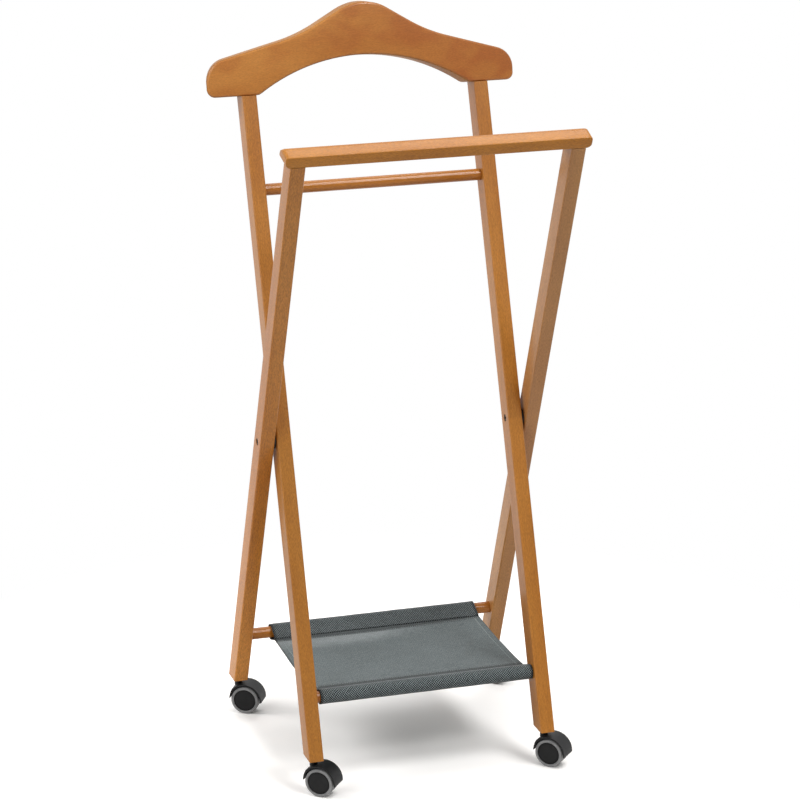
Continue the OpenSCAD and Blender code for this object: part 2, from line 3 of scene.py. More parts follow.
import bmesh
import bpy
from mathutils import Matrix, Vector
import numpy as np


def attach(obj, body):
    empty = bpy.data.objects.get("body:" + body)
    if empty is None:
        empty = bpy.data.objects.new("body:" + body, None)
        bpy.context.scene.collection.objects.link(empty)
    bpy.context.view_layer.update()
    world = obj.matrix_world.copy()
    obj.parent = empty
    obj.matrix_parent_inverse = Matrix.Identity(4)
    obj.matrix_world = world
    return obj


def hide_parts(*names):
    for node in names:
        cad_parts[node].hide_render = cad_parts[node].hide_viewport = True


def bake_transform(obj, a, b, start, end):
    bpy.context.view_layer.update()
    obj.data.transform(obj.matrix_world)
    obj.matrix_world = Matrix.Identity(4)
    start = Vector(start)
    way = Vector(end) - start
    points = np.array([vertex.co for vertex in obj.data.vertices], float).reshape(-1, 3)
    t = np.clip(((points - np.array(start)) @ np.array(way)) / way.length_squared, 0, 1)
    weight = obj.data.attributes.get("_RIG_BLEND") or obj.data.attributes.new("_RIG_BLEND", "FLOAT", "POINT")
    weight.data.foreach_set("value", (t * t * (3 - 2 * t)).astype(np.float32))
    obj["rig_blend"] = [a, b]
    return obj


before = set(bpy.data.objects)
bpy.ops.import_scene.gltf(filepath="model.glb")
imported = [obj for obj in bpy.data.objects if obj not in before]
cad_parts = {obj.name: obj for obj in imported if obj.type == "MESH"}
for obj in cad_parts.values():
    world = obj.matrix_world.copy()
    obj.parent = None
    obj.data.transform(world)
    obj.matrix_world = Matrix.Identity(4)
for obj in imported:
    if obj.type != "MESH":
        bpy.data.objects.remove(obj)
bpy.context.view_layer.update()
MM = 0.001

# ---- Legs ----
# Four straight beech legs of 20 x 30 mm, with softly rounded long edges, stained honey brown and lacquered.
# They cross in two pairs at the pivots: the inner pair leans back at the top and the outer pair leans
# forward, and every foot is cut level above its caster.
LEG_LEAN = math.radians(20.4)
PIVOT = Vector((0, -6, 450.2)) * MM
INNER_X = 163.6 * MM
OUTER_X = 187.3 * MM
inner_frame = Matrix.Translation(PIVOT) @ Matrix.Rotation(-LEG_LEAN, 4, "X")
outer_frame = Matrix.Translation(PIVOT) @ Matrix.Rotation(LEG_LEAN, 4, "X")
INNER_GRAIN = inner_frame.to_3x3() @ Vector((0, 0, 1))
OUTER_GRAIN = outer_frame.to_3x3() @ Vector((0, 0, 1))


def new_material(name, **settings):
    """A node material. Each setting is the value of one of its shader's sockets."""
    material = bpy.data.materials.new(name)
    material.use_nodes = True
    shader = material.node_tree.nodes["Principled BSDF"]
    for key, value in settings.items():
        shader.inputs[key.replace("_", " ").title().replace("Ior", "IOR")].default_value = value
    return material, material.node_tree, shader


def add_node(tree, kind, sockets=(), **settings):
    """Adds a node. Sockets are given by name or number, with a value or another node's output."""
    made = tree.nodes.new(kind)
    for key, value in settings.items():
        setattr(made, key, value)
    for key, value in dict(sockets).items():
        if isinstance(value, bpy.types.NodeSocket):
            tree.links.new(value, made.inputs[key])
        else:
            made.inputs[key].default_value = value
    return made


def math_node(tree, operation, *values):
    return add_node(tree, "ShaderNodeMath", enumerate(values), operation=operation).outputs[0]


def ramp(tree, value, low, high, to_low=0.0, to_high=1.0):
    """Maps value from low..high smoothly onto to_low..to_high."""
    sockets = {"Value": value, "From Min": low, "From Max": high, "To Min": to_low, "To Max": to_high}
    return add_node(tree, "ShaderNodeMapRange", sockets, interpolation_type="SMOOTHSTEP").outputs[0]


def mix_colours(tree, share, first, second, mode="MIX"):
    """The first colour where share is 0 and the second where it is 1."""
    sockets = {0: share, 6: first, 7: second}
    return add_node(tree, "ShaderNodeMix", sockets, data_type="RGBA", blend_type=mode).outputs[2]


def shaded(tree, colour, shade):
    """The colour times shade."""
    grey = add_node(tree, "ShaderNodeCombineColor", {0: shade, 1: shade, 2: shade}).outputs[0]
    return mix_colours(tree, 1.0, colour, grey, "MULTIPLY")


def noise(tree, place, scale, stretch, detail=2.0, roughness=0.5):
    """Noise in a place that is first stretched along its own axes."""
    stretched = add_node(tree, "ShaderNodeMapping", {"Vector": place, "Scale": stretch})
    sockets = {"Vector": stretched.outputs[0], "Scale": scale, "Detail": detail, "Roughness": roughness}
    return add_node(tree, "ShaderNodeTexNoise", sockets).outputs[0]


def beech(name, pale, deep, grain, seed, fleck=0.5, lacquer=0.2, gloss=0.32, ruddy=False, painted_foot_light=1.0):
    """Stained, lacquered beech whose grain runs along the vector grain: broad figure, fibre, and short dark
    flecks. A ruddy piece is redder and darker towards its right end. Lower down, from 0.85 m to 0.2 m high,
    its colour is multiplied by a factor that reaches the last argument at the foot: painted shade where that
    is below 1, and painted light from the floor where it is above 1."""
    material, tree, shader = new_material(name, specular_ior_level=gloss, coat_weight=lacquer,
                                          coat_roughness=0.14)
    position = add_node(tree, "ShaderNodeTexCoord").outputs["Object"]
    along = Vector(grain).normalized()
    across = along.cross(Vector((0, 1, 0))).normalized()
    turn = Matrix((along, across, along.cross(across))).to_euler()
    place = add_node(tree, "ShaderNodeMapping", {
        "Vector": position, "Rotation": turn, "Location": (seed * 1.7, seed * 0.31, seed * 0.53)}).outputs[0]
    figure = noise(tree, place, 1.0, (2.2, 26, 26), detail=3, roughness=0.55)
    cloud = noise(tree, place, 1.0, (9, 14, 14), detail=2)
    fibre = noise(tree, place, 1.0, (60, 1000, 1000), detail=3, roughness=0.6)
    flecks = noise(tree, place, 1.0, (260, 1350, 1350), detail=3, roughness=0.65)
    tone = math_node(tree, "ADD", math_node(tree, "MULTIPLY", figure, 0.62),
                     math_node(tree, "MULTIPLY", cloud, 0.38))
    colour = mix_colours(tree, ramp(tree, tone, 0.36, 0.64), deep, pale)
    if ruddy:
        right = add_node(tree, "ShaderNodeSeparateXYZ", {0: position}).outputs[0]
        blotch = noise(tree, place, 1.0, (14, 22, 22), detail=2)
        redness = math_node(tree, "ADD", ramp(tree, right, -0.2, 0.2, 0.0, 0.7),
                            ramp(tree, blotch, 0.42, 0.62, -0.1, 0.4))
        red = tuple(c * k for c, k in zip(deep, (0.84, 0.68, 0.72, 1)))
        colour = mix_colours(tree, redness, colour, red)
    shade = math_node(tree, "MULTIPLY", ramp(tree, fibre, 0.36, 0.66, 0.93, 1.04),
                      ramp(tree, flecks, 0.40, 0.62, 1.0 + 0.2 * fleck, 1.0 - 0.45 * fleck))
    # Painted light and shade towards the foot: darker where the factor is below 1, lighter where it is above
    # 1
    if painted_foot_light != 1.0:
        up = add_node(tree, "ShaderNodeSeparateXYZ", {0: position}).outputs[2]
        shade = math_node(tree, "MULTIPLY", shade, ramp(tree, up, 0.2, 0.85, painted_foot_light, 1.0))
    tree.links.new(shaded(tree, colour, shade), shader.inputs["Base Color"])
    tree.links.new(ramp(tree, fibre, 0.3, 0.7, 0.44, 0.34), shader.inputs["Roughness"])
    pores = math_node(tree, "MULTIPLY", ramp(tree, flecks, 0.52, 0.7), 0.5)
    height = math_node(tree, "SUBTRACT", fibre, pores)
    bump = add_node(tree, "ShaderNodeBump", {"Strength": 0.22, "Distance": 0.00012, "Height": height})
    tree.links.new(bump.outputs[0], shader.inputs["Normal"])
    return material


def smooth_piece(mesh, name, angle=32):
    """Makes a piece of a mesh, shaded smoothly except at edges sharper than angle."""
    for polygon in mesh.polygons:
        polygon.use_smooth = True
    mesh.set_sharp_from_angle(angle=math.radians(angle))
    piece = bpy.data.objects.new(name, mesh)
    bpy.context.scene.collection.objects.link(piece)
    return piece


def dressed(node, name, material, body, soften=0.0):
    """A copy of a CAD node with its loose triangles joined, its edges softened, and its finish on."""
    mesh = bpy.data.meshes.new(name)
    shell = bmesh.new()
    shell.from_mesh(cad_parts[node].data)
    bmesh.ops.remove_doubles(shell, verts=shell.verts, dist=2e-6)
    bmesh.ops.dissolve_degenerate(shell, edges=shell.edges, dist=2e-6)
    bmesh.ops.dissolve_limit(shell, angle_limit=math.radians(0.4), verts=shell.verts, edges=shell.edges)
    shell.to_mesh(mesh)
    shell.free()
    for layer in [a for a in mesh.attributes if a.name == "custom_normal"]:
        mesh.attributes.remove(layer)
    mesh.materials.clear()
    mesh.materials.append(material)
    piece = smooth_piece(mesh, name)
    if soften:
        bevel = piece.modifiers.new("softened edges", "BEVEL")
        bevel.width = soften
        bevel.segments = 2
        bevel.limit_method = "ANGLE"
        bevel.angle_limit = math.radians(40)
    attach(piece, body)
    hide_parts(node)


LEG_STAIN = (0.49, 0.192, 0.027, 1), (0.40, 0.140, 0.015, 1)
WASHED_STAIN = (0.475, 0.222, 0.063, 1), (0.385, 0.170, 0.051, 1)
# The last column is each leg's painted light at its foot: painted shade on the inner legs, painted light from
# the floor on the outer ones
for node, body, stain, grain, seed, fleck, painted_foot_light in (
        ("inner_leg_left", "hanger_frame", LEG_STAIN, INNER_GRAIN, 1, 0.5, 0.80),
        ("inner_leg_right", "hanger_frame", LEG_STAIN, INNER_GRAIN, 2, 0.4, 0.92),
        ("outer_leg_left", "rail_frame", LEG_STAIN, OUTER_GRAIN, 3, 0.6, 1.2),
        ("outer_leg_right", "rail_frame", WASHED_STAIN, OUTER_GRAIN, 4, 0.45, 1.1)):
    finish = beech(f"{node} beech", *stain, grain, seed, fleck, painted_foot_light=painted_foot_light)
    dressed(node, f"{node}_wood", finish, body)


# ---- Hanger board ----
# The coat hanger shape across the top of the inner frame, sawn from a 30 mm beech board whose ends sweep
# back. Its upper edge rises a little towards the back. The sawn edges are rounded over, and the board
# stands on the cut tops of the inner legs.
BOARD_W, BOARD_T, BOARD_ROUND = 435 * MM, 30 * MM, 3 * MM
BOARD_LEAN = math.radians(12.7)
BOARD_SEAT = Vector((0, -13, 461.3)) * MM
BOARD_BEND, BOARD_SHIFT = 910 * MM, 1 * MM
EDGE_FLARE, FULLNESS = 2.6 * MM, 2.4 * MM
FULL_FROM, FULL_AT = -20 * MM, 25 * MM
CREST_PEAK, CREST_SLOPE, CREST_R = 124.9 * MM, math.radians(29.8), 66 * MM
SHOULDER_END_H, SHOULDER_SLOPE, HOLLOW_R = 40.1 * MM, math.radians(14.6), 219 * MM
SHOULDER_R, LOWER_R = 30 * MM, 11 * MM
ARCH_H, ARCH_R, ARCH_CORNER_R = 45.8 * MM, 264 * MM, 10 * MM
SHAPING = 0.36  # per metre, how much lower the right shoulder stands than the left one
board_frame = (inner_frame @ Matrix.Translation(BOARD_SEAT)
               @ Matrix.Rotation(LEG_LEAN - BOARD_LEAN, 4, "X"))


def rounded_corner(before, corner, after, radius, steps):
    """The arc that rounds a corner between two straight sides."""
    u, v = (before - corner).normalized(), (after - corner).normalized()
    half = u.angle(v) / 2
    centre = corner + (u + v).normalized() * radius / math.sin(half)
    first = corner + u * radius / math.tan(half) - centre
    last = corner + v * radius / math.tan(half) - centre
    start, turn = math.atan2(first.y, first.x), -first.angle_signed(last)
    return [centre + radius * Vector((math.cos(a), math.sin(a)))
            for a in (start + turn * i / steps for i in range(steps + 1))]


def height_at(line, x):
    """The height of a line of points, sorted by x, at x."""
    for a, b in zip(line, line[1:]):
        if a.x <= x <= b.x:
            return a.y if b.x - a.x < 1e-9 else a.y + (b.y - a.y) * (x - a.x) / (b.x - a.x)
    return line[0].y if x < line[0].x else line[-1].y


end_x = BOARD_W / 2
SHOULDER_PEAK = SHOULDER_END_H + end_x * math.tan(SHOULDER_SLOPE)
hollow_x = (CREST_PEAK - SHOULDER_PEAK) / (math.tan(CREST_SLOPE) - math.tan(SHOULDER_SLOPE))
crest = Vector((0, CREST_PEAK))
hollow = Vector((hollow_x, CREST_PEAK - hollow_x * math.tan(CREST_SLOPE)))
shoulder = Vector((end_x, SHOULDER_END_H))
lower = Vector((end_x, 0))
arch_z = ARCH_H - ARCH_R
corner_x = math.sqrt((ARCH_R + ARCH_CORNER_R) ** 2 - (ARCH_CORNER_R - arch_z) ** 2)
corner_turn = math.atan2(ARCH_CORNER_R - arch_z, corner_x)
upper_line = (rounded_corner(Vector((-hollow.x, hollow.y)), crest, hollow, CREST_R, 48)[24:]
              + rounded_corner(crest, hollow, shoulder, HOLLOW_R, 24)
              + rounded_corner(hollow, shoulder, lower, SHOULDER_R, 48))
lower_line = [Vector((ARCH_R * math.sin(a), arch_z + ARCH_R * math.cos(a)))
              for a in (i / 40 * (math.pi / 2 - corner_turn) for i in range(41))]
lower_line += [Vector((corner_x + ARCH_CORNER_R * math.cos(t), ARCH_CORNER_R + ARCH_CORNER_R * math.sin(t)))
               for t in (-math.pi + corner_turn + (math.pi / 2 - corner_turn) * i / 12 for i in range(13))]
lower_line += rounded_corner(shoulder, lower, Vector((0, 0)), LOWER_R, 24)[::-1]
upper_line, lower_line = (sorted(line, key=lambda p: p.x) for line in (upper_line, lower_line))

STATIONS = 150
stations = [-end_x * math.cos(math.pi * i / STATIONS) for i in range(STATIONS + 1)]
middle_z = (upper_line[-1].y + lower_line[-1].y) / 2
upper = [Vector((x, height_at(upper_line, abs(x)))) for x in stations[1:-1]]
under = [Vector((x, height_at(lower_line, abs(x)))) for x in stations[1:-1]]
ring = [Vector((-end_x, middle_z))] + upper + [Vector((end_x, middle_z))] + under[::-1]


def board_point(point, depth):
    """A point of the board's front view, taken back by depth square to its bent front face. The hand-shaped
    shoulders differ a little: the left one stands a few millimetres higher than the right one."""
    point = Vector((point.x, point.y * (1 - SHAPING * point.x)))
    turn = math.asin(point.x / BOARD_BEND)
    bulge = BOARD_BEND - math.sqrt(BOARD_BEND ** 2 - INNER_X ** 2)
    x = point.x - depth * math.sin(turn) - BOARD_SHIFT
    y = BOARD_BEND * (1 - math.cos(turn)) - bulge + depth * math.cos(turn)
    return board_frame @ Vector((x, y, point.y))


def inset_ring(points, distance, flare):
    """The ring moved inwards along its own normals, and back out where it faces up: by flare, and by
    FULLNESS on the right of the crest, where the board was sawn a little fuller."""
    moved = []
    for i, p in enumerate(points):
        ahead, behind = points[(i + 1) % len(points)] - p, p - points[i - 1]
        tangent = (ahead.normalized() + behind.normalized()).normalized()
        out = flare + FULLNESS * max(0.0, min(1.0, (p.x - FULL_FROM) / (FULL_AT - FULL_FROM)))
        moved.append(p + (distance - out * max(0.0, tangent.x)) * Vector((tangent.y, -tangent.x)))
    return moved


rounding = [(BOARD_ROUND * (1 - math.sin(a)), BOARD_ROUND * (1 - math.cos(a)))
            for a in (math.pi / 2 * i / 6 for i in range(7))]
levels = rounding + [(inset, BOARD_T - depth) for inset, depth in rounding[::-1]]
shell = bmesh.new()
rings = [[shell.verts.new(board_point(p, depth))
          for p in inset_ring(ring, inset, EDGE_FLARE * depth / BOARD_T)] for inset, depth in levels]
count = len(ring)
for level, (near, far) in enumerate(zip(rings, rings[1:])):
    for i in range(count):
        strip = shell.faces.new((near[i], far[i], far[(i + 1) % count], near[(i + 1) % count]))
        strip.material_index = int(2 < level < len(rings) - 4)
for edge_ring in (rings[0], rings[-1]):
    shell.faces.new((edge_ring[0], edge_ring[1], edge_ring[count - 1]))
    for i in range(1, STATIONS - 1):
        shell.faces.new((edge_ring[i], edge_ring[i + 1], edge_ring[count - i - 1], edge_ring[count - i]))
    shell.faces.new((edge_ring[STATIONS - 1], edge_ring[STATIONS], edge_ring[STATIONS + 1]))
bmesh.ops.recalc_face_normals(shell, faces=shell.faces)
board_mesh = bpy.data.meshes.new("hanger_board_wood")
shell.to_mesh(board_mesh)
shell.free()
BOARD_GRAIN = (1, 0, 0.04)
board_mesh.materials.append(beech("hanger board beech", (0.54, 0.222, 0.046, 1), (0.46, 0.170, 0.030, 1),
                                  BOARD_GRAIN, 5, fleck=0.28, lacquer=0.3, ruddy=True))
board_mesh.materials.append(beech("hanger board sawn edge", (0.42, 0.185, 0.045, 1), (0.33, 0.130, 0.028, 1),
                                  BOARD_GRAIN, 5, fleck=0.4, lacquer=0.0, gloss=0.05))
hanger_board = smooth_piece(board_mesh, "hanger_board_wood", angle=60)
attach(hanger_board, "hanger_frame")
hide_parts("hanger_board")


# ---- Top rail ----
# A flat beech rail glued and pinned on the tops of the outer legs. Trousers and towels hang over its
# rounded back edge. The corners of its two ends are cut round, most at the bottom and towards the front.
RAIL_L, RAIL_H, RAIL_D = 408.6 * MM, 16.3 * MM, 30 * MM
RAIL_BACK_R, RAIL_FRONT_R, RAIL_EDGE = 12 * MM, 1.6 * MM, 1.2 * MM
RAIL_END_R, RAIL_REAR_END_R, RAIL_TOP_END_R = 7 * MM, 3 * MM, 4 * MM
RAIL_TOP = 462.6 * MM
rail_frame = outer_frame @ Matrix.Translation((0, 0, RAIL_TOP - RAIL_H))


def rail_section(bottom, rear_bottom, top, inset):
    """The rail's section, Y to the back: a small round on three corners and a wide one on the fourth. Near
    the ends its lower side rises, to bottom at the front and to rear_bottom at the back."""
    front, back, low, high = -RAIL_D / 2 + inset, RAIL_D / 2 - inset, bottom + inset, top - inset
    corners = ((front, low, RAIL_EDGE, 180), (back, low, RAIL_EDGE, 270),
               (back, high, RAIL_BACK_R, 0), (front, high, RAIL_FRONT_R, 90))
    points = []
    for y, z, radius, start in corners:
        radius = max(radius - inset, 0.1 * MM)
        most = (high - low) * 0.48 if radius < 2 * MM else high - low - 0.6 * MM
        radius = min(radius, most)
        steps = 14 if start == 0 else 5
        centre_y = y + radius if y < 0 else y - radius
        centre_z = z + radius if z == low else z - radius
        for i in range(steps + 1):
            a = math.radians(start + 90 * i / steps)
            points.append(Vector((0, centre_y + radius * math.cos(a), centre_z + radius * math.sin(a))))
    for point in points:
        share = (point.y + RAIL_D / 2) / RAIL_D * (top - point.z) / (top - bottom)
        point.z += (rear_bottom - bottom) * share
    return points


half = RAIL_L / 2
cuts = sorted((half - RAIL_EDGE * (1 - math.sin(a)), RAIL_EDGE * (1 - math.cos(a)))
              for a in (math.pi / 2 * i / 4 for i in range(5)))
arc = [half - RAIL_END_R + RAIL_END_R * math.sin(math.pi / 2 * i / 14) for i in range(15)]
right_end = sorted([(x, 0.0) for x in arc if x < cuts[0][0] - 1e-5] + cuts)
sections = [(-x, inset) for x, inset in right_end[::-1]] + right_end
shell = bmesh.new()
rings = []
for x, inset in sections:
    cut = []
    for radius in (RAIL_END_R, RAIL_REAR_END_R, RAIL_TOP_END_R):
        past = max(0.0, min(abs(x) - (half - radius), radius * 0.995))
        cut.append(radius - math.sqrt(radius ** 2 - past ** 2))
    section = rail_section(cut[0], cut[1], RAIL_H - cut[2], inset)
    rings.append([shell.verts.new(rail_frame @ (p + Vector((x, 0, 0)))) for p in section])
for near, far in zip(rings, rings[1:]):
    for i in range(len(near)):
        shell.faces.new((near[i], near[(i + 1) % len(near)], far[(i + 1) % len(near)], far[i]))
shell.faces.new(rings[0])
shell.faces.new(rings[-1][::-1])
bmesh.ops.recalc_face_normals(shell, faces=shell.faces)
rail_mesh = bpy.data.meshes.new("top_rail_wood")
shell.to_mesh(rail_mesh)
shell.free()
rail_mesh.materials.append(beech("top rail beech", (0.51, 0.200, 0.020, 1), (0.41, 0.145, 0.010, 1),
                                 (1, 0, 0), 6, fleck=0.45, gloss=0.24))
top_rail = smooth_piece(rail_mesh, "top_rail_wood", angle=35)
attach(top_rail, "rail_frame")
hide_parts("top_rail")


# ---- Trouser bar and shelf dowels ----
# Three turned beech dowels, glued into blind holes in the legs. The upper one carries trousers, and the
# two low ones carry the cloth shelf.
def turned(name, profile, place, material, body, node, segments=56):
    """A turned piece in place of a CAD node: profile gives (distance along X, radius), and place puts its
    axis in the part."""
    shell = bmesh.new()
    rings = []
    for x, radius in profile:
        rings.append([shell.verts.new(place @ Vector((x, radius * math.cos(a), radius * math.sin(a))))
                      for a in (2 * math.pi * i / segments for i in range(segments))])
    for near, far in zip(rings, rings[1:]):
        for i in range(segments):
            shell.faces.new((near[i], near[(i + 1) % segments], far[(i + 1) % segments], far[i]))
    if profile[0] != profile[-1]:
        shell.faces.new(rings[0])
        shell.faces.new(rings[-1][::-1])
    bmesh.ops.remove_doubles(shell, verts=shell.verts, dist=1e-7)
    bmesh.ops.recalc_face_normals(shell, faces=shell.faces)
    mesh = bpy.data.meshes.new(name)
    shell.to_mesh(mesh)
    shell.free()
    mesh.materials.append(material)
    piece = smooth_piece(mesh, name)
    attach(piece, body)
    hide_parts(node)


LEG_T = 20 * MM
DOWEL_R, SOCKET, CHAMFER = 8 * MM, 10 * MM, 1 * MM
TROUSER_BAR_AT, SHELF_DOWEL_AT = 335.4 * MM, -347 * MM
for name, leg_x, along, leg_frame, body, seed in (
        ("trouser_bar", INNER_X, TROUSER_BAR_AT, inner_frame, "hanger_frame", 7),
        ("front_shelf_dowel", INNER_X, SHELF_DOWEL_AT, inner_frame, "hanger_frame", 8),
        ("rear_shelf_dowel", OUTER_X, SHELF_DOWEL_AT, outer_frame, "rail_frame", 9)):
    end = leg_x - LEG_T / 2 + SOCKET
    finish = beech(f"{name} beech", (0.44, 0.160, 0.02, 1), (0.34, 0.105, 0.01, 1), (1, 0, 0), seed,
                   fleck=0.35, lacquer=0.45, gloss=0.15)
    half_profile = [(end - CHAMFER, DOWEL_R), (end, DOWEL_R - CHAMFER)]
    turned(f"{name}_wood", [(-x, r) for x, r in half_profile[::-1]] + half_profile,
           leg_frame @ Matrix.Translation((0, 0, along)), finish, body, name)


# ---- Joint pins ----
# Unfinished 6 mm beech pins, two over each leg, glued into the leg and into the board or the rail.
# They are hidden in the finished valet.
def finish_hidden(node, material):
    """A hidden CAD node keeps its solid and only takes on its finish."""
    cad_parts[node].data.materials.clear()
    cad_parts[node].data.materials.append(material)


raw_beech = beech("raw beech", (0.72, 0.52, 0.32, 1), (0.60, 0.40, 0.22, 1), (0, 0, 1), 10)
finish_hidden("hanger_joint_pins", raw_beech)
finish_hidden("rail_joint_pins", raw_beech)


# ---- Pivots ----
# At each side a bronzed sleeve nut and bolt clamp through the outer leg and carry the inner leg, with a
# nylon washer between the legs. Their heads lie just below the wood and have hexagon sockets.
def metal(name, colour, roughness, grime):
    """A turned metal: its roughness varies in fine rings and smudges."""
    material, tree, shader = new_material(name, metallic=1.0, specular_ior_level=0.5)
    place = add_node(tree, "ShaderNodeTexCoord").outputs["Object"]
    smudge = noise(tree, place, 220.0, (1, 1, 1), detail=3)
    scratch = noise(tree, place, 1.0, (3000, 500, 500), detail=2)
    dark = tuple(c * (1 - grime) for c in colour[:3]) + (1,)
    tone = mix_colours(tree, ramp(tree, smudge, 0.35, 0.65), dark, colour)
    dulled = ramp(tree, scratch, 0.3, 0.7, roughness - 0.08, roughness + 0.1)
    tree.links.new(tone, shader.inputs["Base Color"])
    tree.links.new(dulled, shader.inputs["Roughness"])
    return material


bronze = metal("burnished bronze", (0.10, 0.075, 0.055, 1), 0.42, 0.5)
washer_nylon, tree, shader = new_material("washer nylon", roughness=0.5, specular_ior_level=0.4)
speckle = noise(tree, add_node(tree, "ShaderNodeTexCoord").outputs["Object"], 900.0, (1, 1, 1), detail=2)
nylon = mix_colours(tree, speckle, (0.012, 0.012, 0.012, 1), (0.025, 0.024, 0.023, 1))
tree.links.new(nylon, shader.inputs["Base Color"])
for side in ("left", "right"):
    for part in ("sleeve", "bolt"):
        dressed(f"pivot_{part}_{side}", f"pivot_{part}_{side}_metal", bronze, "rail_frame",
                0.25 * MM)
    dressed(f"pivot_washer_{side}", f"pivot_washer_{side}_ring", washer_nylon, "rail_frame",
            0.4 * MM)


# ---- Cloth shelf: sleeves ----
# Slate polyester cloth in a coarse weave. At each end of the shelf a sleeve is folded round a dowel, and its
# two layers lie on the panel and are sewn to it, so that the shelf can slide a little along its dowels.
CLOTH_W, CLOTH_SHIFT, CLOTH_T, HEM = 300.8 * MM, 2.6 * MM, 1.0 * MM, 10 * MM
SEAM_REACH, SEAM_DROP, SEAM_TAIL = 27 * MM, 1.5 * MM, -1.0 * MM
# The rear sleeve is sewn looser than the front one
SLEEVE_R = {"front_cloth_sleeve": 9.6 * MM, "rear_cloth_sleeve": 10.6 * MM}
DOWEL_Y, DOWEL_Z = 120.95 * MM, 124.95 * MM
front_dowel = Vector((0, PIVOT.y - DOWEL_Y, DOWEL_Z))
rear_dowel = Vector((0, PIVOT.y + DOWEL_Y, DOWEL_Z))
# The sewn double layer runs on past the sleeves, and its seams lie here. The rear seam bows
FRONT_SEAM_Y, REAR_SEAM_Y = front_dowel.y + 39.5 * MM, rear_dowel.y - 38.5 * MM
REAR_SEAM_BOW, BOW_MIDDLE, BOW_REACH = 7.5 * MM, -20 * MM, 173 * MM
GAP_SLATE, THREAD_SLATE = (0.002, 0.004, 0.005, 1), (0.18, 0.208, 0.212, 1)
# A paler copy of the same thread for the front sleeve: painted light, since both sleeves are one cloth
FRONT_LIT_THREAD_SLATE = (0.225, 0.262, 0.266, 1)


def weave(name, dark, light, thread, bold, wear_and_light):
    """A coarse cloth in the piece's own UV map, which counts metres across and along it: each thread passes
    over one and under one, with dark gaps between, and they show most in a bold weave. The last argument, a
    function, turns its colour and the bold colour of the doubled cloth into the finished colour and a shade;
    for the panel these hold wear and painted sheen and shade."""
    material, tree, shader = new_material(name, roughness=0.7, specular_ior_level=0.18, sheen_weight=0.12,
                                          sheen_roughness=0.45)
    cloth_map = add_node(tree, "ShaderNodeUVMap", uv_map="cloth").outputs[0]
    across, along, _ = add_node(tree, "ShaderNodeSeparateXYZ", {0: cloth_map}).outputs
    place = add_node(tree, "ShaderNodeTexCoord").outputs["Object"]
    wander = ramp(tree, noise(tree, place, 1.0, (60, 60, 60), detail=1), 0.3, 0.7, -0.25, 0.25)
    a, b = (math_node(tree, "ADD", math_node(tree, "DIVIDE", way, thread), wander) for way in (across, along))
    warp, weft = (math_node(tree, "SINE", math_node(tree, "MULTIPLY", value, math.pi)) for value in (a, b))
    over = ramp(tree, math_node(tree, "MULTIPLY", warp, weft), -0.25, 0.55)
    both = math_node(tree, "ADD", a, b)
    diagonal = math_node(tree, "SINE", math_node(tree, "MULTIPLY", both, math.pi / 2))
    height = math_node(tree, "ADD", math_node(tree, "MULTIPLY", over, 0.9),
                       ramp(tree, diagonal, -1.0, 1.0, 0.0, 0.1))
    slub = ramp(tree, noise(tree, place, 1.0, (420, 420, 420), detail=3), 0.3, 0.7, 0.65, 1.3)
    contrast = ramp(tree, height, 0.0, 1.0, 0.5 - 0.5 * bold, 0.5 + 0.5 * bold)
    colour = mix_colours(tree, math_node(tree, "MULTIPLY", contrast, slub), dark, light)
    doubled = mix_colours(tree, math_node(tree, "MULTIPLY", height, slub), GAP_SLATE, THREAD_SLATE)
    blotch = noise(tree, place, 1.0, (60, 60, 60), detail=3)
    colour, shade = wear_and_light(tree, shader, place, across, blotch, colour, doubled)
    shade = math_node(tree, "MULTIPLY", shade, ramp(tree, blotch, 0.3, 0.7, 0.95, 1.05))
    tree.links.new(shaded(tree, colour, shade), shader.inputs["Base Color"])
    bump = add_node(tree, "ShaderNodeBump", {"Strength": 0.6, "Distance": 0.0004, "Height": height})
    tree.links.new(bump.outputs[0], shader.inputs["Normal"])
    return material


def cut_ends(tree, shader, place, across, blotch, colour, doubled):
    """The cut ends of a sleeve are dark."""
    from_middle = math_node(tree, "ABSOLUTE", across)
    return colour, ramp(tree, from_middle, CLOTH_W / 2 - 4.2 * MM, CLOTH_W / 2 - 2.6 * MM, 1.0, 0.45)


def cloth_grid(name, columns, material):
    """A sheet from columns of points (point, u, v): each column runs along the cloth, and they follow one
    another across it."""
    mesh = bpy.data.meshes.new(name)
    rows = len(columns[0])
    points = [p for column in columns for p, u, v in column]
    faces = [(i * rows + j, i * rows + j + 1, (i + 1) * rows + j + 1, (i + 1) * rows + j)
             for i in range(len(columns) - 1) for j in range(rows - 1)]
    mesh.from_pydata(points, [], faces)
    layer = mesh.uv_layers.new(name="cloth")
    flat = [(u, v) for column in columns for p, u, v in column]
    for loop in mesh.loops:
        layer.data[loop.index].uv = flat[loop.vertex_index]
    mesh.materials.append(material)
    piece = smooth_piece(mesh, name, angle=180)
    solid = piece.modifiers.new("cloth thickness", "SOLIDIFY")
    solid.thickness = CLOTH_T
    solid.offset = 0
    solid.use_even_offset = True
    return piece


def ripple(x, y, pitch, seed):
    """A smooth, repeatable unevenness between -1 and 1."""
    return (math.sin(x / pitch + seed) * 0.5 + math.sin(x / pitch * 0.37 + 2.1 * seed + y / pitch) * 0.3
            + math.sin(x / pitch * 1.93 - y / pitch * 0.6 + 3.7 * seed) * 0.2)


SLEEVE_THREAD, PANEL_THREAD = 1.65 * MM, 1.6 * MM
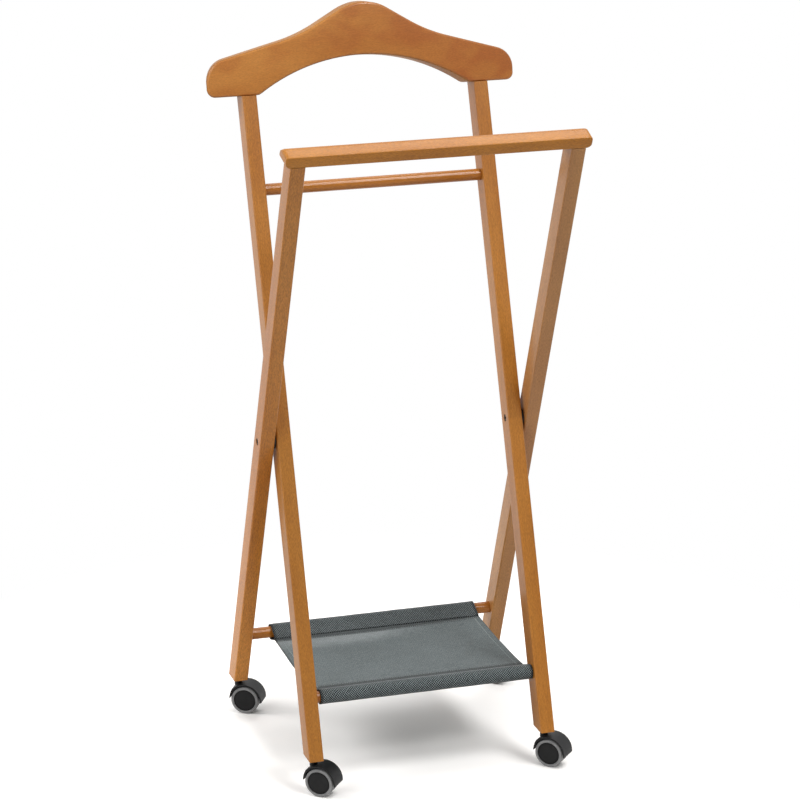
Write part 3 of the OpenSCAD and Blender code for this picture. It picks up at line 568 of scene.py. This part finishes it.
# The front sleeve's paler thread is painted light on the same cloth as the rear sleeve
sleeve_twill = {
    "front_cloth_sleeve": weave("front sleeve twill", GAP_SLATE, FRONT_LIT_THREAD_SLATE, SLEEVE_THREAD, 1.0,
                                cut_ends),
    "rear_cloth_sleeve": weave("rear sleeve twill", GAP_SLATE, THREAD_SLATE, SLEEVE_THREAD, 1.0, cut_ends)}
SEAM_HALF_GAP, SEAM_PINCH = 1.05 * MM, 1.2 * MM
reach = math.hypot(SEAM_REACH, SEAM_DROP)
droop = math.atan2(SEAM_DROP, SEAM_REACH)
tip = Vector((reach + SEAM_TAIL, SEAM_HALF_GAP))


def around_dowel(radius):
    """The section of a sleeve from its seam over the dowel and back, with the length along it at each
    point."""
    touch = math.acos((radius - SEAM_PINCH) / reach)
    path = [tip.lerp(radius * Vector((math.cos(touch), math.sin(touch))), i / 12) for i in range(13)]
    for i in range(1, 40):
        a = touch + (2 * math.pi - 2 * touch) * i / 40
        path.append(radius * Vector((math.cos(a), math.sin(a))))
    path += [Vector((p.x, -p.y)) for p in path[12::-1]]
    lengths = [0.0]
    for a, b in zip(path, path[1:]):
        lengths.append(lengths[-1] + (b - a).length)
    return path, lengths


# A sleeve is a little loose round its dowel and puckered where its two flaps are sewn
COLUMNS = 150
FLAP_FROM, FLAP_REACH = 9 * MM, 14 * MM
LOOSENESS, LOOSE_PITCH, PRESSED = 0.16 * MM, 9 * MM, 0.12 * MM
PUCKER, PUCKER_PITCH = 0.20 * MM, 2.4 * MM
THREAD_START = 0.8 * MM  # so that the sleeve's edge lies on a thread and not in a gap
for name, dowel, side, body, seed in (("front_cloth_sleeve", front_dowel, 1, "hanger_frame", 1.3),
                                      ("rear_cloth_sleeve", rear_dowel, -1, "rail_frame", 4.1)):
    columns = []
    sleeve_path, sleeve_length = around_dowel(SLEEVE_R[name])
    for i in range(COLUMNS + 1):
        u = CLOTH_W * (i / COLUMNS - 0.5)
        column = []
        for point, length in zip(sleeve_path, sleeve_length):
            flat = max(0.0, min(1.0, (point.x - FLAP_FROM) / FLAP_REACH))
            loose = LOOSENESS * (1 - flat) * ripple(u, length, LOOSE_PITCH, seed)
            puckered = PUCKER * flat * ripple(u, 0, PUCKER_PITCH, seed)
            out = point.normalized() if point.x < 4 * MM else Vector((0, 1 if point.y > 0 else -1))
            p = point + out * max(loose + puckered, -PRESSED)
            y = p.x * math.cos(droop) + p.y * math.sin(droop)
            z = p.y * math.cos(droop) - p.x * math.sin(droop)
            p = Vector((u + CLOTH_SHIFT, dowel.y + side * y, dowel.z + z))
            column.append((p, u, length + THREAD_START))
        columns.append(column)
    sleeve = cloth_grid(f"{name}_twill", columns, sleeve_twill[name])
    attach(sleeve, body)
    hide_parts(name)


# ---- Cloth shelf: panel ----
# One sheet of the same cloth between the two seams, turned under and sewn along each side. It sags a
# little under its own weight.
SEAM_Y = DOWEL_Y - SEAM_REACH
SEAM_Z = DOWEL_Z - SEAM_DROP
PANEL_SAG, TUCK = 3.0 * MM, 5 * MM
# It waves a little, most along its free edges, and is puckered at its seams
WAVE, WAVE_PITCH = 0.5 * MM, 26 * MM
EDGE_WAVE, EDGE_WAVE_PITCH, EDGE_WAVE_REACH = 0.35 * MM, 11 * MM, 14 * MM
SEAM_PUCKER, PUCKER_IN, PUCKER_REACH = 0.16 * MM, 4 * MM, 5 * MM
# Where the panel is worn smooth and carries a painted sheen: its middle, and half its width and depth
SHINE_AT, SHINE_REACH = (-70 * MM, 78 * MM), (160 * MM, 44 * MM)


def panel_wear_and_painted_light(tree, shader, place, across, blotch, colour, doubled):
    """The panel is worn smooth towards its rear left, and its colour there is painted lighter as a sheen.
    Past each seam it shows the dark doubled cloth, darkened further with painted shade, and a painted line of
    shadow at the seam. Its edges are dark, and its hems carry a painted highlight along their inner side."""
    def times(shade, factor):
        return math_node(tree, "MULTIPLY", shade, factor)

    x, y, _ = add_node(tree, "ShaderNodeSeparateXYZ", {0: place}).outputs
    sides = [math_node(tree, "DIVIDE", math_node(tree, "SUBTRACT", value, middle), extent)
             for value, middle, extent in zip((x, y), SHINE_AT, SHINE_REACH)]
    far = math_node(tree, "SQRT", math_node(tree, "ADD", *(times(side, side) for side in sides)))
    far = math_node(tree, "ADD", far, ramp(tree, blotch, 0.3, 0.7, -0.07, 0.07))
    bow = math_node(tree, "DIVIDE", math_node(tree, "SUBTRACT", x, BOW_MIDDLE), BOW_REACH)
    bow = times(times(bow, bow), REAR_SEAM_BOW)
    past_rear = math_node(tree, "SUBTRACT", math_node(tree, "SUBTRACT", y, REAR_SEAM_Y), bow)
    past_seam = math_node(tree, "MAXIMUM", math_node(tree, "SUBTRACT", FRONT_SEAM_Y, y), past_rear)
    beyond = ramp(tree, past_seam, -0.3 * MM, 0.3 * MM)
    worn_and_sheen = times(ramp(tree, far, 0.15, 1.1, 1.0, 0.0), math_node(tree, "SUBTRACT", 1.0, beyond))
    tree.links.new(ramp(tree, worn_and_sheen, 0, 1, 0.7, 0.36), shader.inputs["Roughness"])
    tree.links.new(ramp(tree, worn_and_sheen, 0, 1, 0.18, 0.95), shader.inputs["Specular IOR Level"])
    # Painted sheen: up to 1.2 times lighter where worn smooth. Painted shade: 0.62 times as bright past each
    # seam
    shade = times(ramp(tree, worn_and_sheen, 0, 1, 1.0, 1.2), ramp(tree, past_seam, -0.3 * MM, 0.3 * MM, 1.0, 0.62))
    # Painted line of shadow along each seam
    from_seam = math_node(tree, "ABSOLUTE", math_node(tree, "ADD", past_seam, 0.5 * MM))
    shade = times(shade, ramp(tree, from_seam, 0.3 * MM, 0.9 * MM, 0.75, 1.0))
    from_middle = math_node(tree, "ABSOLUTE", math_node(tree, "SUBTRACT", x, CLOTH_SHIFT))
    from_edge = math_node(tree, "SUBTRACT", CLOTH_W / 2, from_middle)
    shade = times(shade, ramp(tree, from_edge, 0.5 * MM, 2.0 * MM, 0.55, 0.93))
    # Painted highlight along each hem's inner side
    shade = times(shade, ramp(tree, from_edge, HEM - 1.5 * MM, HEM - 0.5 * MM, 1.0, 1.08))
    return mix_colours(tree, beyond, colour, doubled), shade


def panel_point(u, y, below=0.0):
    """A point of the sagging panel, u across it and y along it from its middle."""
    t = max(-1.0, min(1.0, y / SEAM_Y))
    past = max(0.0, abs(y) - SEAM_Y)
    free = 1 - t * t
    sag = PANEL_SAG * free - past * math.tan(droop)
    edge = math.exp(-((CLOTH_W / 2 - abs(u)) / EDGE_WAVE_REACH) ** 2)
    wave = WAVE * ripple(u, y * 1.7, WAVE_PITCH, 0.7) + EDGE_WAVE * edge * ripple(y, u, EDGE_WAVE_PITCH, 2.9)
    wave *= free
    pulled = math.exp(-((abs(y) - SEAM_Y + PUCKER_IN) / PUCKER_REACH) ** 2)
    pucker = SEAM_PUCKER * pulled * ripple(u, 0, PUCKER_PITCH, 5.0)
    return Vector((u + CLOTH_SHIFT, PIVOT.y + y, SEAM_Z - sag + wave + pucker - below))


# The hem's path is (distance from the panel's side, depth below the panel)
HEM_TURN_R, HEM_BELOW = 0.62 * MM, 1.25 * MM
hem_path = [(HEM * (1 - i / 5), HEM_BELOW) for i in range(5)]
hem_path += [(HEM_TURN_R * (1 - math.sin(a)), HEM_TURN_R * (1 + math.cos(a)))
             for a in (math.pi * i / 6 for i in range(7))]
across = [(-CLOTH_W / 2 + x, below) for x, below in hem_path]
across += [((CLOTH_W / 2 - HEM_TURN_R) * (2 * i / 120 - 1), 0.0) for i in range(1, 120)]
across += [(CLOTH_W / 2 - x, below) for x, below in hem_path[::-1]]
ROWS = 84
columns, spread = [], 0.0
for i, (u, below) in enumerate(across):
    if i:
        spread += math.hypot(u - across[i - 1][0], below - across[i - 1][1])
    column = []
    for j in range(ROWS + 1):
        y = (SEAM_Y + TUCK) * (2 * j / ROWS - 1)
        column.append((panel_point(u, y, below), spread, y))
    columns.append(column)
panel_twill = weave("panel twill", (0.030, 0.042, 0.044, 1), (0.21, 0.243, 0.246, 1), PANEL_THREAD, 0.7,
                    panel_wear_and_painted_light)
panel = cloth_grid("shelf_panel_twill", columns, panel_twill)
front_seam = Vector((CLOTH_SHIFT, PIVOT.y - SEAM_Y, SEAM_Z))
rear_seam = Vector((CLOTH_SHIFT, PIVOT.y + SEAM_Y, SEAM_Z))
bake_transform(panel, "hanger_frame", "rail_frame", start=front_seam, end=rear_seam)
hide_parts("shelf_cloth")


# ---- Cloth shelf: stitching ----
# Pale slate thread, one lockstitch row along each side hem and one along each sleeve seam. The stitches sit
# in the cloth and show as short dashes.
thread, tree, shader = new_material("polyester thread", roughness=0.45, specular_ior_level=0.5)
place = add_node(tree, "ShaderNodeTexCoord").outputs["Object"]
twist = add_node(tree, "ShaderNodeTexWave", {"Vector": place, "Scale": 900.0, "Distortion": 1.5}).outputs[1]
twisted = mix_colours(tree, twist, (0.24, 0.28, 0.28, 1), (0.42, 0.48, 0.48, 1))
tree.links.new(twisted, shader.inputs["Base Color"])

STITCH_PITCH, STITCH_L, THREAD_R, STITCH_LIFT = 3.2 * MM, 2.5 * MM, 0.3 * MM, 0.45 * MM
stitch_tree = bpy.data.node_groups.new("stitch row", "GeometryNodeTree")
face = stitch_tree.interface
face.new_socket("Geometry", in_out="INPUT", socket_type="NodeSocketGeometry")
row_inputs = {}
for label, kind, value in (("Pitch", "NodeSocketFloat", STITCH_PITCH),
                           ("Stitch length", "NodeSocketFloat", STITCH_L),
                           ("Thread radius", "NodeSocketFloat", THREAD_R),
                           ("Thread", "NodeSocketMaterial", thread)):
    row_inputs[face.new_socket(label, in_out="INPUT", socket_type=kind).identifier] = value
face.new_socket("Geometry", in_out="OUTPUT", socket_type="NodeSocketGeometry")
entry = stitch_tree.nodes.new("NodeGroupInput")
line = add_node(stitch_tree, "GeometryNodeMeshToCurve", {0: entry.outputs["Geometry"]})
row = add_node(stitch_tree, "GeometryNodeResampleCurve",
               {"Curve": line.outputs[0], "Length": entry.outputs["Pitch"]}, mode="LENGTH")
capsule = add_node(stitch_tree, "GeometryNodeMeshUVSphere", {"Segments": 6, "Rings": 5, "Radius": 1.0})
half_length = math_node(stitch_tree, "MULTIPLY", entry.outputs["Stitch length"], 0.5)
size = add_node(stitch_tree, "ShaderNodeCombineXYZ",
                {0: entry.outputs["Thread radius"], 1: entry.outputs["Thread radius"], 2: half_length})
shaped = add_node(stitch_tree, "GeometryNodeTransform",
                  {"Geometry": capsule.outputs[0], "Scale": size.outputs[0]})
direction = add_node(stitch_tree, "GeometryNodeInputTangent")
aim = add_node(stitch_tree, "FunctionNodeAlignRotationToVector", {"Vector": direction.outputs[0]}, axis="Z")
placed = add_node(stitch_tree, "GeometryNodeInstanceOnPoints",
                  {"Points": row.outputs[0], "Instance": shaped.outputs[0], "Rotation": aim.outputs[0]})
real = add_node(stitch_tree, "GeometryNodeRealizeInstances", {0: placed.outputs[0]})
smooth = add_node(stitch_tree, "GeometryNodeSetShadeSmooth", {0: real.outputs[0]})
finished = add_node(stitch_tree, "GeometryNodeSetMaterial",
                    {"Geometry": smooth.outputs[0], "Material": entry.outputs["Thread"]})
add_node(stitch_tree, "NodeGroupOutput", {0: finished.outputs[0]})


def stitch_row(name, lines):
    """Stitches along each line of points, as one plain mesh."""
    mesh = bpy.data.meshes.new(name)
    points, edges = [], []
    for points_of_line in lines:
        edges += [(len(points) + i, len(points) + i + 1) for i in range(len(points_of_line) - 1)]
        points += points_of_line
    mesh.from_pydata(points, edges, [])
    guide = bpy.data.objects.new(name + "_guide", mesh)
    bpy.context.scene.collection.objects.link(guide)
    modifier = guide.modifiers.new("stitch row", "NODES")
    modifier.node_group = stitch_tree
    for identifier, value in row_inputs.items():
        modifier[identifier] = value
    made = bpy.data.meshes.new_from_object(guide.evaluated_get(bpy.context.evaluated_depsgraph_get()))
    made.name = name
    bpy.data.objects.remove(guide)
    piece = bpy.data.objects.new(name, made)
    bpy.context.scene.collection.objects.link(piece)
    return piece


def on_cloth(u, y):
    """A point just above the panel, u across it and y along it from its middle."""
    return panel_point(u, y) + Vector((0, 0, STITCH_LIFT))


def rear_seam_y(x):
    """Where the rear sleeve's seam lies on the panel. It was sewn a little askew, and bows."""
    return REAR_SEAM_Y + REAR_SEAM_BOW * ((x - BOW_MIDDLE) / BOW_REACH) ** 2


HEM_STITCH_IN, FRONT_STITCH_IN, REAR_STITCH_IN, ROW_END = 1.5 * MM, 1.2 * MM, 1.6 * MM, 3 * MM
HEM_STITCH_U, HEM_STITCH_Y = CLOTH_W / 2 - HEM + HEM_STITCH_IN, SEAM_Y * 0.93
seam_u = [(CLOTH_W - 2 * ROW_END) * (i / 80 - 0.5) for i in range(81)]
stitch_lines = {
    "side_hem_stitches": [[on_cloth(side * HEM_STITCH_U, HEM_STITCH_Y * (2 * i / 60 - 1)) for i in range(61)]
                          for side in (-1, 1)],
    "front_seam_stitches": [[on_cloth(u, FRONT_SEAM_Y - PIVOT.y - FRONT_STITCH_IN) for u in seam_u]],
    "rear_seam_stitches": [[on_cloth(u, rear_seam_y(u + CLOTH_SHIFT) - PIVOT.y + REAR_STITCH_IN)
                            for u in seam_u]]}
for name, lines in stitch_lines.items():
    stitches = stitch_row(name, lines)
    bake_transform(stitches, "hanger_frame", "rail_frame", start=front_seam, end=rear_seam)


# ---- Casters ----
# Four twin-wheel furniture casters. A zinc-plated stem is pressed into a steel socket in each foot, and a
# black nylon hood turns on it. Each hood carries an axle with two black hubs that have moulded grey treads.
zinc = metal("bright zinc", (0.56, 0.57, 0.59, 1), 0.30, 0.15)


def moulded(name, colour, roughness, grain, bump_strength):
    """A moulded plastic or rubber with a fine spark-eroded grain."""
    material, tree, shader = new_material(name, specular_ior_level=0.25)
    place = add_node(tree, "ShaderNodeTexCoord").outputs["Object"]
    fine = noise(tree, place, grain, (1, 1, 1), detail=2)
    broad = noise(tree, place, 90.0, (1, 1, 1), detail=2)
    pale = tuple(c * 1.25 + 0.002 for c in colour[:3]) + (1,)
    tone = mix_colours(tree, ramp(tree, broad, 0.3, 0.7), colour, pale)
    dulled = ramp(tree, fine, 0.3, 0.7, roughness - 0.06, roughness + 0.08)
    tree.links.new(tone, shader.inputs["Base Color"])
    tree.links.new(dulled, shader.inputs["Roughness"])
    bump = add_node(tree, "ShaderNodeBump", {"Strength": bump_strength, "Distance": 0.00008, "Height": fine})
    tree.links.new(bump.outputs[0], shader.inputs["Normal"])
    return material


hood_nylon = moulded("hood nylon", (0.007, 0.007, 0.0075, 1), 0.38, 2600.0, 0.25)
hub_nylon = moulded("hub nylon", (0.006, 0.006, 0.006, 1), 0.55, 3200.0, 0.2)
tread_rubber = moulded("tread rubber", (0.24, 0.24, 0.24, 1), 0.55, 2200.0, 0.2)

WHEEL_R, TRAIL = 20 * MM, 12 * MM
WHEEL_IN, WHEEL_OUT = 2.3 * MM, 12 * MM
HUB_R, HUB_FACE, AXLE_R = 15.7 * MM, 11.2 * MM, 2.05 * MM
FOOT_Y = 148.46 * MM
WHEEL_STEPS = 72


def arc_points(centre, radius, start, end, steps):
    """The points of an arc from start to end, in degrees."""
    angles = [math.radians(start + (end - start) * i / steps) for i in range(steps + 1)]
    return [(centre[0] + radius * math.cos(a), centre[1] + radius * math.sin(a)) for a in angles]


# Both profiles are (distance from the web, radius). The hub's face has a fine ring groove near its edge, and
# the tread has two.
HUB_ROUND, TREAD_ROUND, TREAD_IN_ROUND = 0.7 * MM, 2.6 * MM, 1.0 * MM
TREAD_BORE = HUB_R + 0.25 * MM
TREAD_GROOVES, GROOVE_DEPTH = (17.3 * MM, 16.5 * MM), 0.3 * MM
hub_profile = [(WHEEL_IN, AXLE_R), (WHEEL_IN, HUB_R - 0.4 * MM), (WHEEL_IN + 0.4 * MM, HUB_R)]
hub_profile += arc_points((HUB_FACE - HUB_ROUND, HUB_R - HUB_ROUND), HUB_ROUND, 90, 0, 4)
hub_profile += [(HUB_FACE, HUB_R - 1.0 * MM), (HUB_FACE - 0.35 * MM, HUB_R - 1.15 * MM),
                (HUB_FACE - 0.35 * MM, HUB_R - 1.65 * MM), (HUB_FACE, HUB_R - 1.8 * MM),
                (HUB_FACE - 0.15 * MM, 8 * MM), (HUB_FACE - 0.22 * MM, 0.05 * MM)]
hub_profile += [(HUB_FACE - 1.2 * MM, 0.05 * MM), (HUB_FACE - 1.2 * MM, AXLE_R), (WHEEL_IN, AXLE_R)]
tread_profile = [(WHEEL_IN, TREAD_BORE), (WHEEL_IN, WHEEL_R - TREAD_IN_ROUND)]
tread_profile += arc_points((WHEEL_IN + TREAD_IN_ROUND, WHEEL_R - TREAD_IN_ROUND), TREAD_IN_ROUND,
                            180, 90, 4)
tread_profile += arc_points((WHEEL_OUT - TREAD_ROUND, WHEEL_R - TREAD_ROUND), TREAD_ROUND, 90, 8, 8)
for groove in TREAD_GROOVES:
    tread_profile += [(WHEEL_OUT, groove + 0.22 * MM), (WHEEL_OUT - GROOVE_DEPTH, groove + 0.1 * MM),
                      (WHEEL_OUT - GROOVE_DEPTH, groove - 0.1 * MM), (WHEEL_OUT, groove - 0.22 * MM)]
tread_profile += [(WHEEL_OUT - 0.15 * MM, TREAD_BORE + 0.05 * MM), (WHEEL_OUT - 0.5 * MM, TREAD_BORE),
                  (WHEEL_IN, TREAD_BORE)]

for corner, x, y, heading in (("front_left", -INNER_X, -FOOT_Y, -40), ("front_right", INNER_X, -FOOT_Y, -44),
                              ("rear_left", -OUTER_X, FOOT_Y, -31), ("rear_right", OUTER_X, FOOT_Y, -45)):
    body = "hanger_frame" if corner.startswith("front") else "rail_frame"
    swivel = f"{corner}_swivel_body"
    caster = (Matrix.Translation((x, PIVOT.y + y, WHEEL_R)) @ Matrix.Rotation(math.radians(heading), 4, "Z")
              @ Matrix.Translation((TRAIL, 0, 0)))
    dressed(f"{corner}_caster_stem", f"{corner}_caster_stem_zinc", zinc, body, 0.2 * MM)
    dressed(f"{corner}_caster_axle", f"{corner}_caster_axle_zinc", zinc, swivel, 0.2 * MM)
    dressed(f"{corner}_caster_hood", f"{corner}_caster_hood_nylon", hood_nylon, swivel,
            0.45 * MM)
    for wheel, side in (("near", -1), ("far", 1)):
        wheel_place = caster @ Matrix.Rotation(side * math.pi / 2, 4, "Z")
        hub, tread = f"{corner}_caster_{wheel}_hub", f"{corner}_caster_{wheel}_tread"
        turned(f"{hub}_nylon", hub_profile, wheel_place, hub_nylon, f"{corner}_{wheel}_wheel",
               hub, WHEEL_STEPS)
        turned(f"{tread}_rubber", tread_profile, wheel_place, tread_rubber, f"{corner}_{wheel}_wheel",
               tread, WHEEL_STEPS)
finish_hidden("front_caster_sockets", zinc)
finish_hidden("rear_caster_sockets", zinc)


# ---- Studio ----
# A plain white floor runs on into a white surround that is brighter behind, under five soft lamps: one high
# behind, two large ones on the left, and two high ones on the right in front. The camera stands in front, a
# little to the left, and looks slightly down.
floor_paint, tree, shader = new_material("floor paint", roughness=0.9, specular_ior_level=0.0)
rays = add_node(tree, "ShaderNodeLightPath").outputs
place = add_node(tree, "ShaderNodeTexCoord").outputs["Object"]
haze = noise(tree, place, 3.0, (1, 1, 1), detail=2)
white = mix_colours(tree, haze, (1.09, 1.074, 1.053, 1), (1.148, 1.131, 1.11, 1))
mirrored = math_node(tree, "MAXIMUM", rays["Is Glossy Ray"], rays["Is Transmission Ray"])
seen = math_node(tree, "MAXIMUM", rays["Is Camera Ray"], mirrored)
away = add_node(tree, "ShaderNodeVectorMath", {0: place}, operation="LENGTH").outputs["Value"]
paper = mix_colours(tree, ramp(tree, away, 0.5, 2.2), (0.74, 0.73, 0.72, 1), (0.20, 0.20, 0.20, 1))
paper = mix_colours(tree, mirrored, paper, (0.75, 0.745, 0.74, 1))
tree.links.new(mix_colours(tree, rays["Is Camera Ray"], paper, white), shader.inputs["Base Color"])
plain_white = add_node(tree, "ShaderNodeEmission", {"Strength": 1.0})
plain = math_node(tree, "MULTIPLY", seen, ramp(tree, away, 0.42, 0.8))
blend = add_node(tree, "ShaderNodeMixShader", {0: plain, 1: shader.outputs[0], 2: plain_white.outputs[0]})
tree.links.new(blend.outputs[0], tree.nodes["Material Output"].inputs["Surface"])
shell = bmesh.new()
bmesh.ops.create_grid(shell, x_segments=8, y_segments=8, size=30)
floor_mesh = bpy.data.meshes.new("floor")
shell.to_mesh(floor_mesh)
shell.free()
floor_mesh.materials.append(floor_paint)
floor = bpy.data.objects.new("floor", floor_mesh)
bpy.context.scene.collection.objects.link(floor)

world = bpy.data.worlds.new("white surround")
bpy.context.scene.world = world
world.use_nodes = True
tree = world.node_tree
rays = add_node(tree, "ShaderNodeLightPath").outputs
mirrored = math_node(tree, "MAXIMUM", rays["Is Glossy Ray"], rays["Is Transmission Ray"])
seen = math_node(tree, "MAXIMUM", rays["Is Camera Ray"], mirrored)
sky = tree.nodes["Background"]
sky.inputs["Color"].default_value = (1, 1, 1, 1)
direction = add_node(tree, "ShaderNodeTexCoord").outputs["Generated"]
towards = add_node(tree, "ShaderNodeSeparateXYZ", {0: direction}).outputs[1]
dim = ramp(tree, towards, -0.8, 0.8, 0.16, 1.0)
backdrop = math_node(tree, "MAXIMUM", rays["Is Camera Ray"], ramp(tree, towards, -0.75, -0.15, 0.45, 1.0))
strength = add_node(tree, "ShaderNodeMapRange", {"Value": seen, "To Min": dim, "To Max": backdrop})
tree.links.new(strength.outputs[0], sky.inputs["Strength"])


def soft_lamp(name, place, aim, size, watts):
    data = bpy.data.lights.new(name, "AREA")
    data.shape, data.size, data.energy = "DISK", size, watts
    lamp = bpy.data.objects.new(name, data)
    bpy.context.scene.collection.objects.link(lamp)
    lamp.location = place
    lamp.rotation_euler = (Vector(aim) - Vector(place)).to_track_quat("-Z", "Y").to_euler()


soft_lamp("back lamp", (1.7, 2.4, 4.9), (0, 0, 0.8), 1.4, 21)
soft_lamp("left lamp", (-3.0, 0.6, 3.2), (0, 0, 0.4), 1.8, 60)
soft_lamp("side lamp", (-3.9, -3.0, 3.0), (0, 0, 0.45), 2.8, 76)
soft_lamp("front lamp", (1.5, -3.5, 4.1), (0, 0, 0.5), 1.3, 52)
soft_lamp("near lamp", (1.4, -1.4, 4.0), (0, 0, 0.4), 1.5, 72)

camera_data = bpy.data.cameras.new("photograph view")
camera_data.sensor_fit = "HORIZONTAL"
camera_data.sensor_width = 36
camera_data.lens = 143.827
camera_data.clip_end = 60
camera = bpy.data.objects.new("photograph view", camera_data)
bpy.context.scene.collection.objects.link(camera)
CAMERA_PLACE = (-1.260607, -3.907750, 1.811367)
AZIMUTH, ELEVATION, ROLL = math.radians(-17.9404), math.radians(17.8583), math.radians(0.326)
camera.matrix_world = (Matrix.Translation(CAMERA_PLACE) @ Matrix.Rotation(AZIMUTH, 4, "Z")
                       @ Matrix.Rotation(math.pi / 2 - ELEVATION, 4, "X") @ Matrix.Rotation(ROLL, 4, "Z"))
bpy.context.scene.camera = camera

bpy.context.scene.view_settings.view_transform = "Standard"
